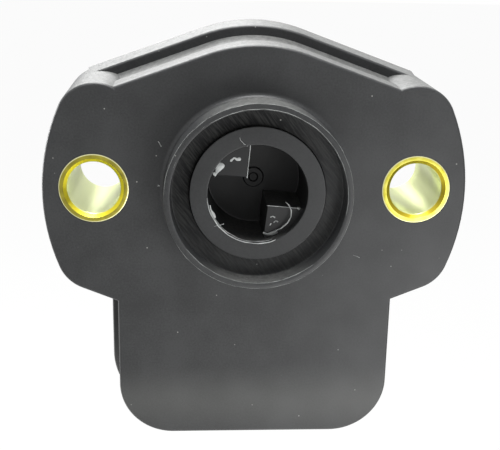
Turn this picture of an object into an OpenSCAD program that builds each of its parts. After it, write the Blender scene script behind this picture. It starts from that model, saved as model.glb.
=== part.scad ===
// Throttle position sensor.
// The mating face lies in the plane y = 0 and faces -Y, with the rotor's axis through the origin.
// X runs from ear to ear, Z runs from the tongue up to the hump, and depth is measured along +Y.

/* [Ears] */
// Distance between the centres of the two mounting holes
hole_spacing = 38; // [36:0.5:42]
// Depth of the body at the ears, which is also the length of the bushings
body_depth = 14; // [13.4:0.1:16]
// Radius of the ears' outer edge
ear_r = 25; // [24:0.1:28]
// Radius of the rounded corners of the ears
ear_corner_r = 4.7; // [3:0.1:6]
// Angle of the upper ear corners above the X axis
ear_top_angle = 24.1; // [20:0.1:26]
// Slope of the edge that runs down from each ear to the tongue
ear_under_slope = 22; // [15:0.5:26]
// Depth below the axis at which those two edges would meet
ear_under_drop = 20.7; // [20:0.1:21.4]
// How far the centre of the ears' outer edge lies below the rotor axis
ear_arc_drop = 0.7; // [0:0.1:1.2]
// Growth of the ears from the front to the back, for the mould's draft
ear_draft = 0.35; // [0:0.05:0.8]
// Radius of the moulded edges
edge_r = 0.35; // [0.2:0.05:0.5]

/* [Hump and tongue] */
// Height of the hump above the rotor axis
hump_h = 16.7; // [16:0.1:20]
// Radius of the hump's crown
hump_r = 16.7; // [14:0.1:16.8]
// Slope of the shoulders that run down from the crown
hump_slope = 19.7; // [15:0.1:24]
// Width of the tongue at its lower corners
tongue_w = 33.6; // [30:0.1:36]
// Length of the tongue below the rotor axis
tongue_drop = 31.7; // [31.4:0.1:35]
// Radius of the tongue's lower corners
tongue_corner_r = 6.9; // [5:0.1:9]

/* [Channel and rear rim] */
// Thickness of the front plate
plate_t = 4.4; // [3.5:0.1:5]
// Depth at which the rear rim starts
rim_y = 9; // [8:0.1:10]
// How far the channel dips below the plate's edge just behind the plate
channel_dip = 0.25; // [0:0.05:0.6]
// How far the channel's floor rises above the plate's edge at the rim
channel_rise = 0.85; // [0.2:0.05:1.2]
// How far the rim stands out past the plate's edge at its front
rim_out = 1.6; // [1.3:0.05:2.2]
// Share of that growth which the rim lacks along the sides of the tongue
rim_side_cut = 0.25; // [0:0.05:0.5]
// Growth of the rim from its front to the back face
rim_draft = 0.4; // [0:0.05:0.6]

/* [Pilot collar] */
// Outer radius of the collar
collar_r = 10.8; // [10.6:0.05:12]
// Height of the collar in front of the mating face
collar_h = 4.6; // [4:0.1:5.6]
// Width of the collar's rim
collar_rim_t = 0.75; // [0.65:0.05:0.85]
// Radius of the annular floor inside the collar
collar_floor_r = 10; // [9.9:0.05:10.05]
// Radius of the fillet at the collar's foot
collar_fillet = 0.6; // [0.2:0.05:1]
// Depth of the annular floor, which lies in front of the mating face where it is negative
collar_floor_y = -2.2; // [-2.4:0.1:-1.2]

/* [Bushings] */
// Outer radius of a bushing
bushing_r = 4.1; // [3.9:0.05:4.4]
// Radius of the screw hole through a bushing
bushing_bore_r = 3.1; // [2.7:0.05:3.3]
// Chamfer at both mouths of the screw hole
bushing_chamfer = 0.45; // [0.2:0.05:0.5]
// Chamfer on the bushing's outer edges
bushing_edge = 0.15; // [0.05:0.05:0.3]

/* [Rotor] */
// Radius of the rotor's barrel
barrel_r = 7.87; // [7.4:0.01:8]
// How far the barrel stands out in front of the mating face
barrel_proud = 2.6; // [2:0.1:3.2]
// Radius of the drive socket
socket_r = 5.77; // [5.2:0.01:6]
// Depth of the drive socket
socket_depth = 9.1; // [8.6:0.1:9.4]
// Depth of the drive lugs' faces below the barrel's front
lug_drop = 1.4; // [1:0.1:4]
// Distance of a lug's upright face from the axis
lug_side = 1.35; // [0.8:0.05:2]
// Distance of a lug's level face from the axis
lug_shelf = 1.55; // [0.8:0.05:2.5]
// Turn of the socket at rest, clockwise seen from the front
rest_turn = 5; // [0:1:10]
// Turn of the rotor from rest to its far stop
rotor_travel = 105; // [90:1:110]
// Angular room between the stop lug and each stop
stop_room = 1.5; // [1:0.5:3]
// Radius of the rotor's flange
rotor_flange_r = 9.4; // [9.2:0.05:9.5]
// Thickness of the rotor's flange
rotor_flange_t = 1.5; // [1.2:0.1:1.6]
// Radius of the hub behind the flange
hub_r = 6.9; // [6.6:0.1:7.1]
// Thickness of the floor between the socket and the back of the hub
hub_floor_t = 1.6; // [1.4:0.1:1.8]
// Radial running clearance between the barrel and the housing
barrel_clear = 0.08; // [0.03:0.01:0.1]
// Clearance between parts that turn past each other
run_gap = 0.05; // [0.02:0.01:0.08]

/* [Chamber] */
// Thickness of the wall between the mating face and the chamber
front_wall = 3; // [2.8:0.1:3.2]
// Radius of the chamber
chamber_r = 11.9; // [11.6:0.1:12]
// Width of the ledge that the element rests on
ledge_w = 1; // [0.8:0.1:1.2]
// Thickness of the rear cover
cover_t = 1.6; // [1.4:0.1:1.8]
// Width of the step that the rear cover sits on
cover_step = 0.9; // [0.7:0.1:1]
// Width of the sealant bead round the rear cover
sealant_w = 0.4; // [0.3:0.05:0.5]
// Assembly clearance between parts that drop into each other
fit_gap = 0.05; // [0.02:0.01:0.1]

/* [Bearing parts] */
// Thickness of the thrust washer in front of the rotor's flange
washer_t = 0.4; // [0.3:0.05:0.5]
// Section of the rotor's ring seal
seal_d = 1.08; // [1:0.02:1.16]
// Wire of the return spring
spring_wire = 0.7; // [0.5:0.05:0.8]
// Mean radius of the return spring
spring_r = 8.2; // [8:0.05:8.4]
// Turns of the return spring
spring_turns = 2.5; // [2:0.25:3]
// Gap between the turns of the return spring
coil_gap = 0.05; // [0.02:0.01:0.08]
// Radius of the pivot pin in the middle of the rear cover
pivot_r = 2.2; // [1.8:0.1:2.4]
// Radius of the boss that carries the pivot pin
pivot_boss_r = 4.1; // [3.8:0.1:4.2]
// Thickness of the wave washer's strip
wave_t = 0.2; // [0.15:0.05:0.25]

/* [Element] */
// Thickness of the printed film
film_t = 0.1; // [0.08:0.01:0.15]
// Thickness of a printed track
track_t = 0.05; // [0.04:0.01:0.06]
// Mean radius of the resistor track
resistor_r = 8.9; // [8.7:0.05:9.1]
// Mean radius of the collector track
collector_r = 6.2; // [6:0.05:6.4]
// Width of the tracks
track_w = 1.7; // [1.4:0.1:1.8]
// Thickness of the wiper's sheet
wiper_t = 0.2; // [0.15:0.05:0.25]
// Width of one wiper finger
finger_w = 0.4; // [0.3:0.05:0.45]

/* [Connector] */
// Height of the connector's centre line below the rotor axis
plug_drop = 23; // [22:0.1:24]
// Width of the connector's cavity
plug_w = 20.8; // [18:0.1:21]
// Height of the connector's cavity
plug_h = 9.8; // [9.6:0.1:10]
// Wall of the connector's shroud
plug_wall = 1.7; // [1.4:0.1:1.8]
// Inner corner radius of the shroud
plug_corner = 1.3; // [0.8:0.1:2]
// How far the shroud stands out behind the body
plug_len = 11.5; // [10.5:0.1:15]
// Depth of the cavity's floor below the body's back face
plug_sink = 2; // [1.5:0.1:2.4]
// Spacing of the terminals
pin_pitch = 5; // [4.6:0.1:5.4]
// Width of a terminal blade
pin_w = 1.5; // [1.2:0.1:1.8]
// Thickness of a terminal blade
pin_t = 0.64; // [0.5:0.02:0.8]
// Length of a terminal blade inside the cavity
pin_len = 8.5; // [7:0.1:9]

/* [Hidden] */
$fn = 64;
// Largest angle that one flat of a drafted outline spans
arc_step = 5;
// Overlap that lets a cut pass through a face, or a boss root in a wall
over = 0.5;

// Centres of the ear corners, which touch the outer edge from inside
ear_centre_r = ear_r - ear_corner_r;
ear_under_n = 270 - ear_under_slope;
ear_under_d = (ear_under_drop - ear_arc_drop) * cos(ear_under_slope);
ear_bottom_angle = ear_under_n - 180 - acos((ear_under_d - ear_corner_r) / ear_centre_r);

// Angle at which an ear's corner has dipped far enough to run under the hump's shoulder
ear_crest_angle = 120;

// Hump and tongue outline
hump_z = hump_h - hump_r;
tongue_cx = tongue_w / 2 - tongue_corner_r;
tongue_cz = tongue_corner_r - tongue_drop;

// Levels along the depth
seal_seat_y = front_wall - 1.25;
seal_seat_r = 9;
rotor_flange_y = front_wall + washer_t + run_gap;
rotor_flange_end = rotor_flange_y + rotor_flange_t;
socket_floor_y = socket_depth - barrel_proud;
hub_end = socket_floor_y + hub_floor_t;
cover_y = body_depth - cover_t;
finger_rise = 1.3;
film_y = hub_end + run_gap + wiper_t + finger_rise;
backing_y = film_y + film_t;
backing_t = 0.8;
clamp_y = backing_y + backing_t;

// Radii in the chamber
board_r = chamber_r + ledge_w - fit_gap;
cover_seat_r = chamber_r + ledge_w + cover_step;
cover_r = cover_seat_r - sealant_w;
board_hole_r = pivot_boss_r + 0.4;
stop_in_r = rotor_flange_r + 0.4;
stop_lug_r = stop_in_r + 1.2;
stop_lug_angle = 320;
stop_lug_w = 16;
spring_post_r = stop_in_r + 0.4;
spring_post_d = 1.2;
stop_w = 9;
stop_y_end = rotor_flange_end + 0.1;
pivot_hole_r = pivot_r + 0.08;
pivot_hole_depth = 0.8;

// Chamfer at the mouth of the drive socket, and the round gate mark on its floor
mouth_edge = 0.15;
gate_r = 1.2;
gate_h = 0.25;
gate_dip_r = 0.53;
gate_dip = 0.1;

// Places round the axis, as angles seen from the front
wiper_angle = 40;
track_start = wiper_angle - 22;
track_end = wiper_angle + rotor_travel + 22;
spring_start = stop_lug_angle + asin((spring_post_d + spring_wire + 2 * run_gap) / 2 / spring_post_r);
spring_end = spring_start + spring_turns * 360;
spring_y = rotor_flange_end + 0.2 + spring_wire / 2;
spring_rise = spring_turns * (spring_wire + coil_gap);
spring_leg_r = chamber_r + 0.7;
leg_room = 0.1;

// Ring of the rear cover that presses on the element, with a gap in it over the eyelets
press_ring_w = 0.8;
bench_gap_w = 2 * pin_pitch + 4;
cover_edge = 0.2;

// Terminals and the bench that they come up through
bench_z = -(rotor_flange_r + 0.5);
strap_t = 0.6;
strap_w = 1.8;
strap_top_z = bench_z - 0.15;
eyelet_z = bench_z - 0.95;
eyelet_r = 0.55;
eyelet_head_r = 0.85;
eyelet_head_t = 0.15;
plug_floor_y = body_depth - plug_sink;
plug_end_y = body_depth + plug_len;
latch_w = 6;
latch_h = 1.3;
key_w = 1.2;
key_h = 1;

// Pockets in the back face
ear_core_y = 5;
ear_core_wall = 2.4;
ear_core_r0 = cover_seat_r + 1.8;
ear_core_a0 = 19;
ear_core_a1 = 27;
tongue_core_y = rim_y + 1;
tongue_core_w = 2.2;

// Points of an arc in the XZ plane, from one angle to another
function arc(c, r, a0, a1) =
    let (n = max(1, ceil(abs(a1 - a0) / arc_step)))
    [for (i = [0:n]) let (a = a0 + (a1 - a0) * i / n) c + r * [cos(a), sin(a)]];

// Point where two lines meet, each given by its normal's angle and its distance from the axis
function meet(a1, d1, a2, d2) =
    [d1 * sin(a2) - d2 * sin(a1), d2 * cos(a1) - d1 * cos(a2)] / sin(a2 - a1);

function polar(r, a) = r * [cos(a), sin(a)];

// Outline of the two ears, grown outwards by g
function ear_outline(g) =
    let (mid = [0, -ear_arc_drop],
        top = mid + polar(ear_centre_r, ear_top_angle),
        low = mid + polar(ear_centre_r, -ear_bottom_angle),
        r = ear_corner_r + g)
    concat(
        arc(mid, ear_r + g, -ear_bottom_angle, ear_top_angle),
        arc(top, r, ear_top_angle + 1, ear_crest_angle),
        arc([-top.x, top.y], r, 180 - ear_crest_angle, 179 - ear_top_angle),
        arc(mid, ear_r + g, 180 - ear_top_angle, 180 + ear_bottom_angle),
        arc([-low.x, low.y], r, 181 + ear_bottom_angle, ear_under_n),
        [[0, mid.y - (ear_under_d + g) / cos(ear_under_slope)]],
        arc(low, r, 540 - ear_under_n, 359 - ear_bottom_angle));

// Outline of the hump and the tongue, grown outwards by g
function column_outline(g) =
    let (low = [tongue_cx - max(0, g) * rim_side_cut, tongue_cz],
        r = tongue_corner_r + g,
        side_x = low.x + r,
        side = meet(0, side_x, 90 - hump_slope, hump_z * cos(hump_slope) + hump_r + g))
    concat(
        [side],
        arc([0, hump_z], hump_r + g, 90 - hump_slope, 90 + hump_slope),
        [[-side.x, side.y]],
        arc([-low.x, low.y], r, 180, 270),
        arc(low, r, 270, 360));

// Steps of depth and growth that round a front edge, and those that round a rear edge
function front_edge(y, g) =
    [for (a = [0:30:90]) [y + edge_r * (1 - cos(a)), g - edge_r * (1 - sin(a))]];
function rear_edge(y, g) =
    [for (a = [0:30:90]) [y - edge_r * (1 - sin(a)), g - edge_r * (1 - cos(a))]];

// Steps of the channel's floor, which curves up towards the rim
function channel_steps() =
    let (n = 5, start = plate_t - over, rise = channel_rise + channel_dip)
    [for (i = [0:n])
        let (y = start + (rim_y + over - start) * i / n, s = max(0, y - plate_t) / (rim_y - plate_t))
        [y, min(channel_rise, rise * s * s - channel_dip)]];

// Solid skin through rings of points, where each ring is a depth and an outline in XZ
module loft(rings) {
    n = len(rings[0][1]);
    last = len(rings) - 1;
    points = [for (ring = rings) for (p = ring[1]) [p.x, ring[0], p.y]];
    sides = [for (k = [0:last - 1]) for (i = [0:n - 1])
        let (j = (i + 1) % n, a = k * n, b = (k + 1) * n)
        each [[a + i, a + j, b + j], [a + i, b + j, b + i]]];
    polyhedron(points, concat([[for (i = [n - 1:-1:0]) i]], sides, [[for (i = [0:n - 1]) last * n + i]]));
}

// Solid of revolution about the rotor's axis, with the profile as radius and depth
module turned(profile) {
    rotate([-90, 0, 0]) rotate_extrude() polygon(profile);
}

// Flat piece between two depths, drawn in XZ
module slab(y0, y1) {
    translate([0, y1, 0]) rotate([90, 0, 0]) linear_extrude(y1 - y0) children();
}

// Sector of a ring in XZ, from one angle to another
module ring_sector(r0, r1, a0, a1) {
    polygon(concat(arc([0, 0], r1, a0, a1), arc([0, 0], r0, a1, a0)));
}

// Rectangle with round corners, centred on the connector
module plug_shape(w, h, r) {
    translate([0, -plug_drop]) {
        square([w - 2 * r, h], center = true);
        square([w, h - 2 * r], center = true);
        for (x = [-1, 1]) for (z = [-1, 1])
            translate([x * (w / 2 - r), z * (h / 2 - r)]) circle(r);
    }
}

module housing_skin() {
    loft([for (s = concat(front_edge(0, 0), rear_edge(body_depth, ear_draft)))
        [s[0], ear_outline(s[1])]]);
    loft([for (s = concat(front_edge(0, 0), rear_edge(plate_t, edge_r / 2)))
        [s[0], column_outline(s[1])]]);
    loft([for (s = channel_steps()) [s[0], column_outline(s[1])]]);
    loft([for (s = concat(front_edge(rim_y, rim_out), rear_edge(body_depth, rim_out + rim_draft)))
        [s[0], column_outline(s[1])]]);
}

module collar() {
    foot = [for (a = [0:15:90])
        [collar_r + collar_fillet * (1 - sin(a)), -collar_fillet * (1 - cos(a))]];
    turned(concat(
        [[barrel_r - over, over], [collar_r + collar_fillet, over]],
        foot,
        [[collar_r, 0.2 - collar_h], [collar_r - 0.2, -collar_h],
            [collar_r - collar_rim_t, -collar_h],
            [collar_floor_r, collar_floor_y], [barrel_r - over, collar_floor_y]]));
}

// Space inside the housing, from the drive opening back to the cover's seat
module chamber() {
    turned([[0, -collar_h - over], [barrel_r + barrel_clear, -collar_h - over],
        [barrel_r + barrel_clear, seal_seat_y], [seal_seat_r, seal_seat_y],
        [seal_seat_r, front_wall],
        [chamber_r, front_wall], [chamber_r, film_y], [chamber_r + ledge_w, film_y],
        [chamber_r + ledge_w, cover_y], [cover_seat_r, cover_y],
        [cover_seat_r, body_depth + over], [0, body_depth + over]]);
}

// Ribs that stop the rotor, and the bench under the ends of the terminals
module chamber_ribs() {
    slab(front_wall - over, stop_y_end) {
        ring_sector(stop_in_r, chamber_r + over, stop_lug_angle - stop_lug_w / 2 - stop_room - stop_w,
            stop_lug_angle - stop_lug_w / 2 - stop_room);
        ring_sector(stop_in_r, chamber_r + over,
            stop_lug_angle + rotor_travel + stop_lug_w / 2 + stop_room,
            stop_lug_angle + rotor_travel + stop_lug_w / 2 + stop_room + stop_w);
    }
    slab(front_wall - over, film_y) intersection() {
        circle(chamber_r + over);
        translate([-chamber_r, -chamber_r - 1]) square([2 * chamber_r, chamber_r + 1 + bench_z]);
    }
}

// Slot in the chamber's wall that holds the fixed leg of the return spring
module spring_slot() {
    w = spring_wire + 2 * leg_room;
    rotate([0, -spring_end, 0])
        translate([chamber_r - over, spring_y + spring_rise - w / 2, -w / 2])
        cube([spring_leg_r + leg_room - chamber_r + over,
            film_y + over - spring_y - spring_rise + w / 2, w]);
}

// Pockets in the back that keep the ears and the tongue from sinking as they cool
module core_pockets() {
    slab(ear_core_y, body_depth + over) for (a = [0, 180]) for (m = [0, 1])
        rotate(a) mirror([0, m])
            ring_sector(ear_core_r0, ear_r - ear_core_wall, ear_core_a0, ear_core_a1);
    slab(tongue_core_y, body_depth + over) for (x = [-1, 1])
        translate([x * (plug_w / 2 + plug_wall + tongue_core_w / 2 + 1.2), -plug_drop])
            square([tongue_core_w, plug_h], center = true);
}

// Ramp that a plug's latch snaps over, and the keys that stop a plug going in upside down
module plug_guides() {
    top = plug_h / 2 + plug_wall - plug_drop;
    low = -plug_drop - plug_h / 2 - plug_wall;
    translate([-latch_w / 2, 0, 0]) rotate([90, 0, 90]) linear_extrude(latch_w) polygon([
        [plug_end_y - 5, top - over], [plug_end_y - 5, top + latch_h], [plug_end_y - 4.2, top + latch_h],
        [plug_end_y - 1.4, top + 0.2], [plug_end_y - 1.4, top - over]]);
    for (x = [-1, 1]) translate([x * plug_w / 3 - key_w / 2, body_depth - over, low - key_h])
        cube([key_w, plug_len + over - 1, key_h + over]);
}

module housing() {
    color("#3b3c3e") difference() {
        union() {
            difference() {
                union() {
                    housing_skin();
                    collar();
                    slab(plug_floor_y - over, plug_end_y)
                        plug_shape(plug_w + 2 * plug_wall, plug_h + 2 * plug_wall,
                            plug_corner + plug_wall);
                    plug_guides();
                }
                chamber();
            }
            chamber_ribs();
        }
        for (x = [-1, 1]) translate([x * hole_spacing / 2, 0, 0])
            turned([[0, -over], [bushing_r, -over], [bushing_r, body_depth + over],
                [0, body_depth + over]]);
        slab(plug_floor_y, plug_end_y + over) plug_shape(plug_w, plug_h, plug_corner);
        for (i = [-1, 0, 1]) terminal_shape(i);
        spring_slot();
        core_pockets();
    }
}

module bushing(side) {
    color("#cdb44e") translate([side * hole_spacing / 2, 0, 0]) turned([
        [bushing_bore_r + bushing_chamfer, 0], [bushing_r - bushing_edge, 0],
        [bushing_r, bushing_edge], [bushing_r, body_depth - bushing_edge],
        [bushing_r - bushing_edge, body_depth], [bushing_bore_r + bushing_chamfer, body_depth],
        [bushing_bore_r, body_depth - bushing_chamfer], [bushing_bore_r, bushing_chamfer]]);
}
module bushing_left() { bushing(-1); }
module bushing_right() { bushing(1); }

// One drive lug in its quarter of the socket
module drive_lug() {
    slab(lug_drop - barrel_proud, socket_floor_y + over) intersection() {
        circle(socket_r + over);
        translate([lug_side, -socket_r - 1]) square([socket_r + 1, socket_r + 1 - lug_shelf]);
    }
}

module rotor() {
    color("#4b4c4e") {
        turned([[socket_r + mouth_edge, -barrel_proud], [barrel_r - mouth_edge, -barrel_proud],
            [barrel_r, mouth_edge - barrel_proud], [barrel_r, rotor_flange_y],
            [rotor_flange_r, rotor_flange_y], [rotor_flange_r, rotor_flange_end],
            [hub_r, rotor_flange_end], [hub_r, hub_end], [pivot_hole_r, hub_end],
            [pivot_hole_r, hub_end - pivot_hole_depth], [0, hub_end - pivot_hole_depth],
            [0, socket_floor_y - gate_dip], [gate_dip_r, socket_floor_y - gate_dip],
            [gate_dip_r, socket_floor_y - gate_h], [gate_r, socket_floor_y - gate_h],
            [gate_r, socket_floor_y], [socket_r, socket_floor_y],
            [socket_r, mouth_edge - barrel_proud]]);
        rotate([0, rest_turn, 0]) {
            drive_lug();
            rotate([0, 180, 0]) drive_lug();
        }
        slab(rotor_flange_y, rotor_flange_end)
            ring_sector(rotor_flange_r - over, stop_lug_r, stop_lug_angle - stop_lug_w / 2,
                stop_lug_angle + stop_lug_w / 2);
        slab(rotor_flange_end - over, spring_y + spring_wire)
            translate(polar(spring_post_r, stop_lug_angle)) circle(spring_post_d / 2);
    }
}

module rotor_seal() {
    color("#222222") translate([0, front_wall - 0.6, 0]) rotate([-90, 0, 0])
        rotate_extrude() translate([seal_seat_r - seal_d / 2 - 0.01, 0]) circle(seal_d / 2, $fn = 24);
}

module thrust_washer() {
    washer_r = stop_in_r - 0.1;
    color("#e6e3d8") turned([[barrel_r + 0.2, front_wall], [washer_r, front_wall],
        [washer_r, front_wall + washer_t], [barrel_r + 0.2, front_wall + washer_t]]);
}

// Tube of round section along a path in space, from rings that stand square to the path
module wire(path, d) {
    sides = 8;
    last = len(path) - 1;
    dirs = [for (i = [0:last])
        let (v = path[min(last, i + 1)] - path[max(0, i - 1)]) v / norm(v)];
    rings = [for (i = [0:last])
        let (s = cross(dirs[i], [0, 1, 0]), t = norm(s) < 0.2 ? cross(dirs[i], [0, 0, 1]) : s,
            u = t / norm(t), v = cross(u, dirs[i]))
        [for (k = [0:sides - 1]) path[i] + d / 2 * (u * cos(k * 360 / sides) + v * sin(k * 360 / sides))]];
    points = [for (ring = rings) each ring];
    faces = [for (i = [0:last - 1]) for (k = [0:sides - 1])
        let (m = (k + 1) % sides, a = i * sides, b = (i + 1) * sides)
        each [[a + k, b + k, b + m], [a + k, b + m, a + m]]];
    polyhedron(points, concat([[for (k = [0:sides - 1]) k]], faces,
        [[for (k = [sides - 1:-1:0]) last * sides + k]]));
}

module return_spring() {
    steps = 28 * spring_turns;
    coil = [for (i = [0:steps])
        let (a = spring_start + (spring_end - spring_start) * i / steps, p = polar(spring_r, a))
        [p.x, spring_y + spring_rise * i / steps, p.y]];
    moving = polar(spring_post_r + 0.7, spring_start);
    fixed = polar(spring_leg_r, spring_end);
    color("#8d9196") wire(concat([[moving.x, spring_y, moving.y]], coil,
        [[fixed.x, spring_y + spring_rise, fixed.y]]), spring_wire);
}

// Flat ring bent into three waves round its circle
module wave_washer() {
    r0 = pivot_r + 0.2;
    r1 = pivot_boss_r - 0.1;
    y0 = hub_end + run_gap;
    crest = (film_y - run_gap - y0 - wave_t) / 2;
    n = 72;
    points = [for (i = [0:n - 1])
        let (a = i * 360 / n, y = y0 + crest * (1 + sin(3 * a)), c = [cos(a), sin(a)])
        each [[r0 * c.x, y, r0 * c.y], [r1 * c.x, y, r1 * c.y],
            [r1 * c.x, y + wave_t, r1 * c.y], [r0 * c.x, y + wave_t, r0 * c.y]]];
    faces = [for (i = [0:n - 1]) for (k = [0:3])
        let (a = 4 * i, b = 4 * ((i + 1) % n), m = (k + 1) % 4)
        each [[a + k, b + k, b + m], [a + k, b + m, a + m]]];
    color("#a4a8ac") polyhedron(points, faces);
}

// One finger: a strip that rises from the wiper's sheet and curls over where it touches a track
module finger(r) {
    tip = film_y - track_t - run_gap;
    low = hub_end + wiper_t / 2;
    rotate([0, -wiper_angle, 0]) translate([r - finger_w / 2, 0, 0]) rotate([90, 0, 90])
        linear_extrude(finger_w) polygon([[low, -3.2], [low + wiper_t / 2, -3.2], [tip, 1.0],
            [tip - 0.3, 1.5], [tip - 0.45, 1.4], [tip - 0.2, 1.0]]);
}

module wiper_contact() {
    color("#c8a24a") {
        slab(hub_end, hub_end + wiper_t)
            ring_sector(collector_r - 1, resistor_r + 1, wiper_angle - 42, wiper_angle - 18);
        for (r = [collector_r, resistor_r]) for (k = [-1, 0, 1]) finger(r + 0.6 * k);
    }
}

module element_film() {
    color("#8a5a1c") slab(film_y, film_y + film_t) difference() {
        circle(board_r);
        circle(board_hole_r);
        for (i = [-1, 0, 1]) translate([i * pin_pitch, eyelet_z]) circle(eyelet_r);
    }
}

module element_backing() {
    color("#5b6b4a") slab(backing_y, backing_y + backing_t) difference() {
        circle(board_r);
        circle(board_hole_r);
        for (i = [-1, 0, 1]) translate([i * pin_pitch, eyelet_z]) circle(eyelet_r);
    }
}

module track(r, a0, a1) {
    slab(film_y - track_t, film_y) ring_sector(r - track_w / 2, r + track_w / 2, a0, a1);
}
module resistor_track() { color("#1c1c1e") track(resistor_r, track_start, track_end); }
module collector_track() { color("#2a2a2d") track(collector_r, track_start, track_end); }

// Silver print from the ends of the tracks down towards the terminals
module conductor_traces() {
    r0 = resistor_r + track_w / 2 + 0.2;
    color("#b9bcc0") slab(film_y - track_t, film_y) {
        ring_sector(r0, r0 + 0.9, track_end - 8, 230);
        ring_sector(resistor_r - track_w / 2, r0 + 0.9, track_end + 0.01, track_end + 4);
        ring_sector(r0, r0 + 0.9, -50, track_start + 8);
        ring_sector(resistor_r - track_w / 2, r0 + 0.9, track_start - 4, track_start - 0.01);
        ring_sector(collector_r - track_w / 2, collector_r + track_w / 2, track_end + 0.01, 275);
    }
}

// A terminal: a strap down from the element, bent back into a blade inside the connector
module terminal_shape(i) {
    translate([i * pin_pitch - strap_w / 2, film_y - strap_t, -plug_drop - pin_t / 2])
        cube([strap_w, strap_t, strap_top_z + plug_drop + pin_t / 2]);
    translate([i * pin_pitch - pin_w / 2, film_y - strap_t, -plug_drop - pin_t / 2])
        cube([pin_w, plug_floor_y + pin_len - film_y + strap_t, pin_t]);
}
module terminal(i) {
    color("#c9c7c2") difference() {
        terminal_shape(i);
        slab(film_y - strap_t - over, film_y + over)
            translate([i * pin_pitch, eyelet_z]) circle(eyelet_r);
    }
}
module terminal_supply() { terminal(-1); }
module terminal_signal() { terminal(0); }
module terminal_ground() { terminal(1); }

// Eyelets that clamp the element to the terminals
module terminal_eyelets() {
    color("#d0b060") for (i = [-1, 0, 1]) translate([i * pin_pitch, 0, eyelet_z]) turned([
        [0, film_y - strap_t], [eyelet_r, film_y - strap_t], [eyelet_r, clamp_y],
        [eyelet_head_r, clamp_y], [eyelet_head_r, clamp_y + eyelet_head_t],
        [0, clamp_y + eyelet_head_t]]);
}

module rear_cover() {
    press_r = board_r - press_ring_w - 0.1;
    color("#36373a") difference() {
        turned([[0, hub_end - pivot_hole_depth + 0.1],
            [pivot_r, hub_end - pivot_hole_depth + 0.1], [pivot_r, film_y], [pivot_boss_r, film_y],
            [pivot_boss_r, cover_y], [press_r, cover_y], [press_r, clamp_y],
            [board_r - 0.1, clamp_y], [board_r - 0.1, cover_y], [cover_r, cover_y],
            [cover_r, body_depth - cover_edge], [cover_r - cover_edge, body_depth], [0, body_depth]]);
        slab(clamp_y - over, cover_y) translate([-bench_gap_w / 2, -cover_r])
            square([bench_gap_w, cover_r - board_hole_r - 1]);
    }
}

module cover_sealant() {
    color("#202022") turned([[cover_r, cover_y], [cover_seat_r, cover_y],
        [cover_seat_r, body_depth - 0.15], [cover_seat_r - sealant_w / 2, body_depth - 0.3],
        [cover_r, body_depth - cover_edge]]);
}

housing();
bushing_left();
bushing_right();
rotor();
rotor_seal();
thrust_washer();
return_spring();
wave_washer();
wiper_contact();
element_film();
element_backing();
resistor_track();
collector_track();
conductor_traces();
terminal_supply();
terminal_signal();
terminal_ground();
terminal_eyelets();
rear_cover();
cover_sealant();
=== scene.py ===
"""Throttle position sensor: its looks, in the CAD part's own frame.

Lengths are in millimetres, as in the part's source, and are turned to metres where they meet Blender.
The mating face lies in the plane y = 0 and faces -Y. The rotor turns about Y. Angles are in degrees,
anticlockwise from +X as seen from the front.
"""

import math
import random

import bpy
from mathutils import Matrix, Vector


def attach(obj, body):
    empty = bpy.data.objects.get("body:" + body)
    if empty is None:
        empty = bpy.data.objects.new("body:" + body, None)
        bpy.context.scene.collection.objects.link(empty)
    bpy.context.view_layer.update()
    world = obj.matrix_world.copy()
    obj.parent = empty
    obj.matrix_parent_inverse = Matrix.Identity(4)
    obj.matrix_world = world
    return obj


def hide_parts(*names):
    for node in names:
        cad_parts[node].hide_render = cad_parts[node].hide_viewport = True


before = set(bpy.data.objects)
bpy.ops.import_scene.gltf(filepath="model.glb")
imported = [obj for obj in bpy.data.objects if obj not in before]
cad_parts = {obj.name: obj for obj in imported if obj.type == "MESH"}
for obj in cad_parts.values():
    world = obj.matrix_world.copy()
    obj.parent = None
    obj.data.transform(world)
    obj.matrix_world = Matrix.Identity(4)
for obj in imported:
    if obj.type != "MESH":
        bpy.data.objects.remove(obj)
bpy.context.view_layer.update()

MM = 0.001

# Ears and body, as in the part's source
HOLE_SPACING = 38.0
BODY_DEPTH = 14.0
EAR_R = 25.0
EAR_CORNER_R = 4.7
EAR_TOP_ANGLE = 24.1
EAR_CREST_ANGLE = 120.0
EAR_UNDER_SLOPE = 22.0
EAR_UNDER_DROP = 20.7
EAR_ARC_DROP = 0.7
EAR_DRAFT = 0.35
EDGE_R = 0.35

# Column of hump and tongue, as in the source
HUMP_H = 16.7
HUMP_R = 16.7
HUMP_SLOPE = 19.7
TONGUE_W = 33.6
TONGUE_DROP = 31.7
TONGUE_CORNER_R = 6.9
PLATE_T = 4.4
RIM_Y = 9.0
CHANNEL_DIP = 0.25
RIM_OUT = 1.6
RIM_SIDE_CUT = 0.25
RIM_DRAFT = 0.4

# Pilot collar, as in the source
COLLAR_R = 10.8
COLLAR_H = 4.6
COLLAR_RIM_T = 0.75
COLLAR_FLOOR_R = 10.0
COLLAR_FILLET = 0.6
COLLAR_FLOOR_Y = -2.2

# Bushings, as in the source
BUSHING_R = 4.1
BUSHING_BORE_R = 3.1
BUSHING_CHAMFER = 0.45
BUSHING_EDGE = 0.15

# Rotor and its stops, as in the source
BARREL_R = 7.87
BARREL_PROUD = 2.6
SOCKET_R = 5.77
SOCKET_DEPTH = 9.1
LUG_DROP = 1.4
LUG_SIDE = 1.35
LUG_SHELF = 1.55
REST_TURN = 5.0
ROTOR_TRAVEL = 105.0
STOP_ROOM = 1.5
STOP_LUG_ANGLE = 320
STOP_LUG_W = 16
STOP_W = 9
FLANGE_R = 9.4
FLANGE_T = 1.5
HUB_R = 6.9
HUB_FLOOR_T = 1.6
PIVOT_HOLE_R = 2.28
PIVOT_HOLE_DEPTH = 0.8
BARREL_CLEAR = 0.08
RUN_GAP = 0.05

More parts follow.
